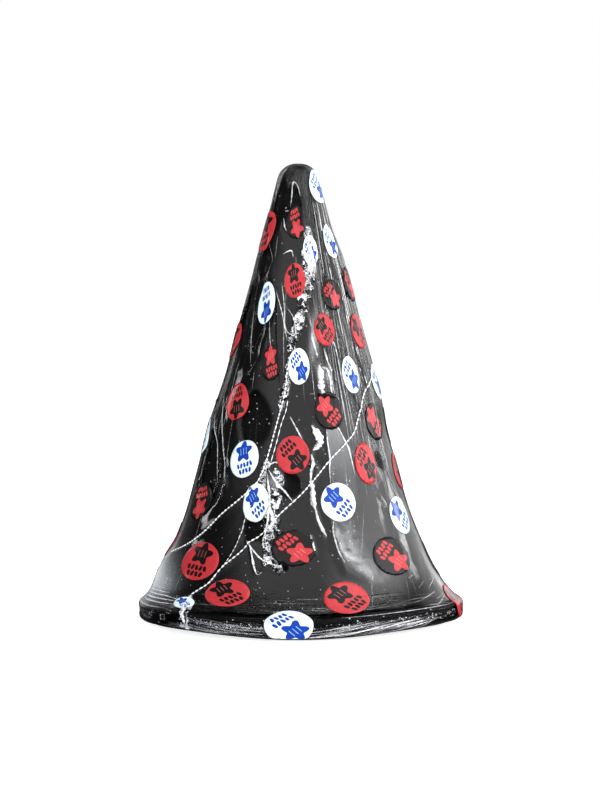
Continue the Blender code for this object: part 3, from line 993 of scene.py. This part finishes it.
def make_film():
    front = np.arange(-FRONT_HALF_TURN, FRONT_HALF_TURN, FRONT_STEP)
    behind = np.arange(FRONT_HALF_TURN, 360 - FRONT_HALF_TURN, BACK_STEP)
    azimuth = np.concatenate([front, behind])
    brim_start = FILM.length - BRIM_PART
    distance = np.concatenate([
        np.linspace(0, brim_start, CONE_ROWS, endpoint=False), np.linspace(brim_start, FILM.length, BRIM_ROWS)
    ])
    grid_az, grid_d = (g.reshape(-1) for g in np.meshgrid(azimuth, distance))
    vertices = film_point(grid_az, grid_d)
    obj = add_mesh("clear_film", vertices, grid_faces(len(distance), len(azimuth)), [clear_film()])
    az = wrapped(grid_az)
    put_attribute(obj, "pressed", pressed_share(az, grid_d))
    # The painted reflections and painted sheen, as a share of white in the film
    put_attribute(obj, "painted_reflection", painted_reflection_share(az, grid_d))
    put_gathers(obj, az, grid_d)
    weld(obj)
    ride(obj, "film", "film_sleeve")


def along_line(line, step):
    """(azimuths, distances, lengths so far) evenly along a smooth curve through a line's points."""
    points = np.array([(az, float(FILM.at_height(height * MM))) for az, height in line])
    padded = np.concatenate([[2 * points[0] - points[1]], points, [2 * points[-1] - points[-2]]])
    curve = []
    for i in range(len(points) - 1):
        p0, p1, p2, p3 = padded[i:i + 4]
        for t in np.linspace(0, 1, 24, endpoint=False):
            squared = (2 * p0 - 5 * p1 + 4 * p2 - p3) * t ** 2
            cubed = (3 * p1 - p0 - 3 * p2 + p3) * t ** 3
            curve.append(0.5 * (2 * p1 + (p2 - p0) * t + squared + cubed))
    curve.append(points[-1])
    curve = np.array(curve)
    place = film_point(curve[:, 0], curve[:, 1])
    length = np.concatenate([[0], np.cumsum(np.linalg.norm(np.diff(place, axis=0), axis=1))])
    wanted = np.arange(0, length[-1], step)
    return np.interp(wanted, length, curve[:, 0]), np.interp(wanted, length, curve[:, 1]), wanted


def bead(line, radius, pitch, seed, sides=8, step=0.0005):
    """(points, faces) of a crimped weld: a thin round bead that swells and pinches along its line."""
    azimuth, distance, along = along_line(line, step)
    draw = np.random.default_rng(seed)
    phase = np.cumsum(1 + 0.35 * draw.standard_normal(len(along))) * step / pitch
    swell = 0.03 + 0.97 * np.abs(np.sin(math.pi * phase)) ** 1.3
    centre = film_point(azimuth, distance, 0.0006)
    outer = film_point(azimuth, distance, 0.0016)
    ahead = np.gradient(centre, axis=0)
    ahead /= np.linalg.norm(ahead, axis=1)[:, None]
    up = outer - centre
    up -= (up * ahead).sum(1)[:, None] * ahead
    up /= np.linalg.norm(up, axis=1)[:, None]
    side = np.cross(ahead, up)
    turn = np.linspace(0, 2 * math.pi, sides, endpoint=False)
    ring = up[:, None] * np.cos(turn)[None, :, None] + side[:, None] * np.sin(turn)[None, :, None]
    ends = np.minimum(1, np.minimum(np.arange(len(along)), np.arange(len(along))[::-1]) / 3)
    reach = radius * swell * ends + 1e-6
    vertices = (centre[:, None] + ring * reach[:, None, None]).reshape(-1, 3)
    return vertices, grid_faces(len(along), sides)


def make_seams():
    finish = seam_weld()
    for name, line, radius, pitch, seed in (
        ("film_seam_left", SEAM_LEFT, 0.00066, 0.0036, 21),
        ("film_seam_right", SEAM_RIGHT, 0.00070, 0.0042, 22),
        ("film_seam_branch", SEAM_BRANCH, 0.00030, 0.0040, 23),
        ("film_seam_double", SEAM_DOUBLE, 0.00040, 0.0060, 24),
    ):
        ride(add_mesh(name, *bead(line, radius, pitch, seed), [finish]), "film")


def ribbon(seed, line, half_width, strength, lift, fading):
    """(points, faces, strengths) of a painted crease highlight: a ragged white ribbon on the film, raised
    along its middle.

    fading is how much of its strength it loses where the film is pressed on the foam.
    """
    azimuth, distance, along = along_line(line, RIBBON_STEP)
    if len(along) < 4:
        return None
    draw = np.random.default_rng(seed)
    centre = film_point(azimuth, distance, lift)
    ahead = np.gradient(centre, axis=0)
    ahead /= np.linalg.norm(ahead, axis=1)[:, None]
    up = film_point(azimuth, distance, lift + 0.001) - centre
    side = np.cross(ahead, up / np.linalg.norm(up, axis=1)[:, None])
    share = np.linspace(0, 1, len(along))
    taper = np.sin(math.pi * np.clip(share, 0.01, 0.99)) ** 0.5
    knots = np.arange(0, along[-1] + 0.004, 0.0013)
    rough = np.interp(along, knots, draw.uniform(0.45, 1.25, len(knots)))
    reach = half_width * MM * taper * rough
    rows = [centre - side * reach[:, None], centre + 0.08 * up, centre + side * reach[:, None]]
    vertices = np.stack(rows, 1).reshape(-1, 3)
    faces = grid_faces(len(along), 3, closed_round=False)
    shown = strength * (0.4 + 0.6 * taper) * (1 - fading * pressed_share(azimuth, distance))
    return vertices, faces, np.repeat(shown, 3)


def all_painted_highlights():
    """(line, half width, strength, lift, fading) of every painted crease highlight."""
    for line, half_width, strength in HIGHLIGHT_CREASES:
        yield line, half_width, strength, HIGHLIGHT_LIFT, 0.0
    for line, half_width, strength in HIGHLIGHTS_OVER_PRINTS:
        yield line, half_width, strength, OVER_PRINT_LIFT, 0.0
    draw = np.random.default_rng(51)
    for count, azimuths, heights, lengths, lean, half_width, strength in FINE_HIGHLIGHTS:
        for _ in range(count):
            azimuth, top, length = draw.uniform(*azimuths), draw.uniform(*heights), draw.uniform(*lengths)
            slant = lean + draw.normal(0, 0.012)
            line = [(azimuth + slant * length * t, max(top - length * t, LEAST_FINE)) for t in RANDOM_STOPS]
            half, shown = half_width * draw.uniform(0.6, 1.5), strength * draw.uniform(0.3, 1.2)
            yield line, half, shown, HIGHLIGHT_LIFT, 0.9
    for count, azimuths, heights, turns, rises, half_width, strength in BRIM_HIGHLIGHTS:
        for _ in range(count):
            azimuth, height = draw.uniform(*azimuths), draw.uniform(*heights)
            turn, rise = draw.uniform(*turns), draw.uniform(*rises)
            middle = [(turn * (t - 0.5), rise * (t - 0.5)) for t in RANDOM_STOPS]
            line = [(azimuth + across, max(height + up, LEAST_BRIM)) for across, up in middle]
            half, shown = half_width * draw.uniform(0.6, 1.6), strength * draw.uniform(0.3, 1.2)
            yield line, half, shown, HIGHLIGHT_LIFT, 0.7


def make_painted_highlights():
    vertices, faces, strengths, total = [], [], [], 0
    for seed, crease in enumerate(all_painted_highlights()):
        made = ribbon(seed, *crease)
        if made is None:
            continue
        vertices.append(made[0])
        faces.append(made[1] + total)
        strengths.append(made[2])
        total += len(made[0])
    # All the painted crease highlights, as one piece
    obj = add_mesh("film_painted_highlights", np.concatenate(vertices), np.concatenate(faces), [painted_highlight_film()])
    put_attribute(obj, "strength", np.concatenate(strengths))
    ride(obj, "film")


def star(centre, radius, count=50):
    """A chunky five-pointed star with soft points."""
    turns = np.linspace(0, 2 * math.pi, count, endpoint=False)
    points = []
    for turn, reach in zip(turns, radius * (0.80 + 0.20 * np.cos(5 * turns))):
        points.append((
            centre[0] + reach * math.cos(turn + STAR_LEAN),
            centre[1] + reach * math.sin(turn + STAR_LEAN),
        ))
    return points


def pill(centre, half_length, half_width, turn, count=4):
    """A small rounded bar."""
    c, s = math.cos(turn), math.sin(turn)
    ends = arc((half_length, 0), half_width, math.pi / 2, -math.pi / 2, count)
    ends += arc((-half_length, 0), half_width, 3 * math.pi / 2, math.pi / 2, count)
    return [(centre[0] + x * c - y * s, centre[1] + x * s + y * c) for x, y in ends]


def print_shapes():
    """The shapes printed on a unit disc, each as (which ink, outline). Later ones lie on earlier ones."""
    across = (math.cos(PRINT_SLANT), math.sin(PRINT_SLANT))
    down = (math.sin(PRINT_SLANT), -math.cos(PRINT_SLANT))
    shapes = [(1, star(STAR_CENTRE, STAR_RADIUS))]
    for row, (count, offset) in enumerate(BAR_ROWS):
        for i in range(count):
            step = (i - (count - 1) / 2) * BAR_PITCH
            x = across[0] * step + down[0] * offset
            y = across[1] * step + down[1] * offset
            lean = PRINT_SLANT + math.pi / 2 + (0.25 if (i + row) % 2 else -0.2)
            shapes.append((1, pill((x, y), 0.066, 0.078, lean)))
    for i in range(3):
        step = (i - 1) * 0.19
        centre = (STAR_CENTRE[0] + across[0] * step, STAR_CENTRE[1] + across[1] * step)
        shapes.append((2, pill(centre, 0.17, 0.016, PRINT_SLANT - math.pi / 2)))
    return shapes


def inside(points, outline):
    """Which points lie in a closed outline."""
    found = np.zeros(len(points), bool)
    x, y = points[:, 0], points[:, 1]
    for (ax, ay), (bx, by) in zip(outline, outline[1:] + outline[:1]):
        crosses = (ay > y) != (by > y)
        reach = (bx - ax) * (y - ay) / (by - ay + 1e-12) + ax
        found ^= crosses & (x < reach)
    return found


def unit_disc(rim=56, spacing=0.14):
    """(points, triangles, finish of each) of a printed disc of radius 1."""
    outlines = [arc((0, 0), 1.0, 0, 2 * math.pi * (1 - 1 / rim), rim - 1)]
    shapes = print_shapes()
    outlines += [outline for _, outline in shapes]
    points, edges = [], []
    for outline in outlines:
        first = len(points)
        points += [Vector(p) for p in outline]
        edges += [(first + i, first + (i + 1) % len(outline)) for i in range(len(outline))]
    for x in np.arange(-1, 1, spacing):
        points += [Vector((x, y)) for y in np.arange(-1, 1, spacing) if math.hypot(x, y) < 0.94]
    made = delaunay_2d_cdt(points, edges, [], 0, 1e-5)
    flat = np.array([tuple(p) for p in made[0]])
    triangles = np.array([list(f) for f in made[2]])
    middle = flat[triangles].mean(1)
    finish = np.zeros(len(triangles), int)
    for index, outline in shapes:
        finish[inside(middle, outline)] = index
    return flat, triangles, finish


def disc_width(radius):
    return max(DISC_WIDTH_LEAST, DISC_WIDTH_AT_BRIM * (radius / BRIM_RADIUS) ** DISC_WIDTH_POWER)


def disc_height(radius):
    return DISC_HEIGHT_AT_TIP + (DISC_HEIGHT_AT_BRIM - DISC_HEIGHT_AT_TIP) * radius / BRIM_RADIUS


def disc_places():
    """(kind, turn, azimuth, height, in the CAD) of every disc."""
    places = []
    for kind, turn, row in DISC_ROWS:
        places += [(kind, turn, azimuth, height, True) for azimuth, height in row]
    for rows, in_cad in ((BACK_ROWS, True), (MORE_BACK_ROWS, False)):
        for kind, turn, height, first in rows:
            count = next(discs for below, discs in BACK_ROW_COUNTS if height < below)
            places += [(kind, turn, first + i * BACK_PITCH, height, in_cad) for i in range(count)]
    return places


# Each kind's ground, print and fine lines
INKS = {
    "red": ((0.40, 0.026, 0.032), (0.004, 0.003, 0.003), (0.30, 0.07, 0.08)),
    "white": ((0.68, 0.80, 0.84), (0.001, 0.036, 0.29), (0.25, 0.42, 0.70)),
    "black": ((0.005, 0.0035, 0.0035), (0.42, 0.030, 0.036), (0.50, 0.14, 0.15)),
}


def disc_on_film(flat, turn, azimuth, height):
    """(azimuths, distances) of a unit disc's points, laid on the film."""
    middle = float(FILM.at_height(height * MM))
    radius = float(FILM.radius_at(middle))
    c, s = math.cos(math.radians(turn)), math.sin(math.radians(turn))
    x = flat[:, 0] * c - flat[:, 1] * s
    y = flat[:, 0] * s + flat[:, 1] * c
    size = (disc_width(radius) / MM, disc_height(radius) / MM)
    width, tall = (side * MM for side in OTHER_SIZES.get((azimuth, height), size))
    return azimuth + np.degrees(x * width / 2 / radius), middle - y * tall / 2


def make_discs():
    """One piece for each kind of disc."""
    flat, triangles, finish = unit_disc()
    for kind, inks in INKS.items():
        places = [place[1:] for place in disc_places() if place[0] == kind]
        laid = [disc_on_film(flat, *place[:3]) for place in places]
        arounds, downs = (np.concatenate(values) for values in zip(*laid))
        faces = np.concatenate([triangles + i * len(flat) for i in range(len(laid))])
        materials = [
            printed(f"{kind}_disc_{part}", ink) for part, ink in zip(("ground", "print", "lines"), inks)
        ]
        vertices = film_point(arounds, downs, DISC_LIFT)
        obj = add_mesh(f"{kind}_discs", vertices, faces, materials, np.tile(finish, len(laid)))
        put_gathers(obj, wrapped(arounds), downs)
        thicken(obj, DISC_WALL, 1.0)
        in_cad = sum(place[3] for place in places)
        ride(obj, f"{kind}_print", *(f"{kind}_disc_{i + 1:02d}" for i in range(in_cad)))


def make_crown():
    """The foam cone as one shell: its outer line down to the flange, then its inner line back up."""
    line = Surface(crown_outline())
    distance = np.linspace(0, line.length, 150)
    radius, height, out_r, out_z = line.read(distance)
    outer = np.stack([radius, height], -1)
    inner = outer - FOAM_WALL * np.stack([out_r, out_z], -1)
    inner[:, 0] = np.maximum(inner[:, 0], 0)
    section = [tuple(p) for p in outer] + [tuple(p) for p in inner[::-1]]
    crown = turned("foam_crown", section, glitter_foam("black_glitter_foam"), 240, WOBBLE, 31, 1.0)
    ride(crown, "foam", "crown_cone")


def make_brim():
    glitter = glitter_foam("black_brim_foam", 0.045, 0.45, silver=0.8)
    section = rounded_section(BRIM_INNER_RADIUS, BRIM_OUTER_RADIUS, *BRIM_SPAN, 0.0034)
    brim = turned("foam_brim", section, glitter, 320, WOBBLE, 33)
    ride(brim, "foam", "brim_ring")
    low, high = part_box("brim_edge_band")
    sparkle = glitter_foam("glitter_band", 0.24, 0.3, silver=0.8)
    section = rounded_section(high[0] - 0.0006, high[0], low[2], high[2], 0.00025, 2)
    ride(turned("glitter_edge_band", section, sparkle, 320), "glitter", "brim_edge_band")
    low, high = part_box("brim_facing")
    card = plain_soft("black_card", (0.020, 0.020, 0.021), 700.0, 0.0002, 0.78)
    section = rounded_section(BRIM_INNER_RADIUS, high[0], low[2], high[2], 0.0006, 3)
    ride(turned("card_facing", section, card, 240), "card", "brim_facing")


def make_sweatband():
    felt = plain_soft("black_felt", (0.018, 0.018, 0.019), 900.0, 0.0006, 0.95, 0.3)
    section = rounded_section(HEAD_RADIUS, HEAD_RADIUS + BAND_WALL, *BAND_SPAN, 0.0016)
    ride(turned("felt_sweatband", section, felt, 240, 0.00025, 35), "felt", "sweatband")
    thread = plain_soft("black_thread", (0.05, 0.05, 0.055), 2000.0, 0.0001, 0.7)
    vertices, faces = [], []
    stitches, sides = 96, 6
    for row_height in (BAND_SPAN[0] + 0.005, BAND_SPAN[1] - 0.005):
        for i in range(stitches):
            middle = 2 * math.pi * i / stitches
            ring = []
            for k, swell in enumerate((0.05, 0.8, 1.0, 0.8, 0.05)):
                angle = middle + (k - 2) * 0.0105
                outward = Vector((math.sin(angle), -math.cos(angle), 0))
                centre = outward * HEAD_RADIUS + Vector((0, 0, row_height))
                for j in range(sides):
                    turn = 2 * math.pi * j / sides
                    offset = Vector((0, 0, 1)) * math.sin(turn) - outward * math.cos(turn)
                    ring.append(centre + offset * THREAD_RADIUS * swell)
            faces.append(grid_faces(5, sides) + len(vertices) * 5 * sides)
            vertices.append(np.array([tuple(v) for v in ring]))
    stitch = add_mesh("sweatband_stitches", np.concatenate(vertices), np.concatenate(faces), [thread])
    ride(stitch, "felt")


def make_tape():
    """The cloth tape down the inside of the crown's back."""
    line = Surface(crown_outline())
    rows, columns = 80, 11
    depth = FOAM_WALL + TAPE_GAP
    vertices = []
    draw = np.random.default_rng(41)
    for height in np.linspace(*TAPE_SPAN, rows):
        distance = float(line.at_height(height))
        inner = float(line.radius_at(distance)) - depth
        fray = 1 + 0.02 * draw.standard_normal()
        sideways = np.linspace(-TAPE_WIDTH / 2, TAPE_WIDTH / 2, columns) * fray
        down = np.full(columns, distance)
        vertices.append(line.point(180 + np.degrees(sideways / inner), down, -depth))
    cloth = plain_soft("black_cloth_tape", (0.03, 0.03, 0.032), 1400.0, 0.0002, 0.85)
    faces = grid_faces(rows, columns, closed_round=False)
    tape = add_mesh("seam_tape", np.concatenate(vertices), faces, [cloth])
    thicken(tape, 0.0004, 0.0)
    ride(tape, "tape", "crown_seam_tape")


# ---------------------------------------------------------------- stage


def make_floor():
    n = material_nodes("pale_floor")
    finish = n.finish(n.shader(
        "ShaderNodeBsdfPrincipled",
        Base_Color=n.blend_colour(n.noise(n.object_point(), 3.0), (0.93, 0.93, 0.93), (0.96, 0.96, 0.96)),
        Roughness=0.9,
        Specular_IOR_Level=0.0,
        Emission_Color=(1, 1, 1, 1),
        Emission_Strength=0.8,
    ))
    reach, level = 8.0, -0.0003
    corners = [(reach * x, reach * y, level) for x, y in ((-1, -1), (1, -1), (1, 1), (-1, 1))]
    floor = add_mesh("floor", corners, [(0, 1, 2, 3)], [finish])
    floor.visible_glossy = False


def area_light(name, azimuth, elevation, distance, size, watts, colour=(1, 1, 1)):
    """A softbox that looks at the hat's middle."""
    lamp = bpy.data.lights.new(name, "AREA")
    lamp.shape = "RECTANGLE"
    lamp.size, lamp.size_y = size
    lamp.energy = watts
    lamp.color = colour
    az, el = math.radians(azimuth), math.radians(elevation)
    away = Vector((math.sin(az) * math.cos(el), -math.cos(az) * math.cos(el), math.sin(el)))
    obj = link(name, lamp)
    obj.location = LIT_POINT + away * distance
    obj.rotation_euler = away.to_track_quat("Z", "Y").to_euler()
    obj.visible_glossy = False


def make_lights():
    area_light("softbox_right", 50, 25, 1.7, (1.3, 1.5), 26)
    area_light("softbox_left", -60, 20, 1.7, (1.0, 1.4), 10, (0.80, 0.90, 1.0))
    area_light("softbox_top", 15, 68, 1.6, (1.4, 1.4), 14)


# What shows in the gloss, by the direction's azimuth in degrees and its rise, which is 1 straight up:
# (from, to, softness, strength), and strips as (from, to, softness, bottom, top, strength)
RIGHT_BOX = (42, 108, 22, 0.95)
EDGE_BOXES = ((150, 168, 8, 0.75), (-168, -150, 8, 0.35))
STRIPS = (
    (97, 100, 2, 0.04, 0.34, 4.0),
    (118, 126, 3, 0.04, 0.34, 3.5),
    (-111, -105, 2, 0.04, 0.34, 3.5),
)


def make_world():
    """A studio painted by direction. The camera sees white, and the gloss sees softboxes and a dark left."""
    world = bpy.data.worlds.new("studio")
    bpy.context.scene.world = world
    n = Nodes(world, "ShaderNodeOutputWorld")

    def rising(value, low, high, most=1.0):
        return n.ramp(value, low, high, 0.0, most, "SMOOTHSTEP")

    def box(value, low, high, soft, most=1.0):
        return n.times(rising(value, low - soft, low + soft), rising(value, high + soft, high - soft, most))

    direction = n.add("ShaderNodeTexCoord").outputs["Generated"]
    x, y, z = n.add("ShaderNodeSeparateXYZ", {0: direction}).outputs
    turn = n.times(n.math("ARCTAN2", x, n.times(y, -1.0)), 180 / math.pi)
    front = n.times(rising(turn, -92, -38, 0.60), rising(turn, 195, 150))
    light = n.plus(front, box(turn, *RIGHT_BOX))
    light = n.plus(n.plus(light, rising(turn, -120, -181, 0.16)), 0.05)
    level = rising(z, 0.34, 0.12)
    for edge in EDGE_BOXES:
        light = n.plus(light, n.times(box(turn, *edge), level))
    behind = n.times(rising(y, 0.1, 0.5), rising(z, 0.10, 0.85))
    light = n.times(light, n.math("SUBTRACT", 1.0, n.times(behind, 0.93)))
    light = n.times(light, rising(z, 1.60, 0.60))
    for low, high, soft, bottom, top, strength in STRIPS:
        light = n.plus(light, n.times(box(turn, low, high, soft), box(z, bottom, top, 0.08, strength)))
    light = n.times(light, n.plus(rising(z, -0.04, 0.14, 0.95), 0.05))
    seen = n.add("ShaderNodeLightPath").outputs["Is Camera Ray"]
    strength = n.add("ShaderNodeMix", {0: seen, 2: light, 3: 1.0}).outputs[0]
    n.finish(n.shader("ShaderNodeBackground", Color=(1, 1, 1, 1), Strength=strength))


def make_camera():
    data = bpy.data.cameras.new("camera")
    data.sensor_fit = "VERTICAL"
    data.sensor_height = SENSOR
    data.lens = SENSOR * VIEW_DISTANCE / VIEW_HEIGHT
    camera = link("camera", data)
    tilt = math.radians(VIEW_ELEVATION)
    away = Vector((0, -math.cos(tilt), math.sin(tilt)))
    camera.location = Vector(VIEW_TARGET) + away * VIEW_DISTANCE
    turn = away.to_track_quat("Z", "Y").to_matrix() @ Matrix.Rotation(math.radians(-VIEW_ROLL), 3, "Z")
    camera.rotation_euler = turn.to_euler()
    bpy.context.scene.camera = camera


make_camera()
make_world()
make_lights()
make_floor()
make_crown()
make_brim()
make_sweatband()
make_tape()
make_film()
make_seams()
make_painted_highlights()
make_discs()
bpy.context.scene.view_settings.view_transform = "Standard"
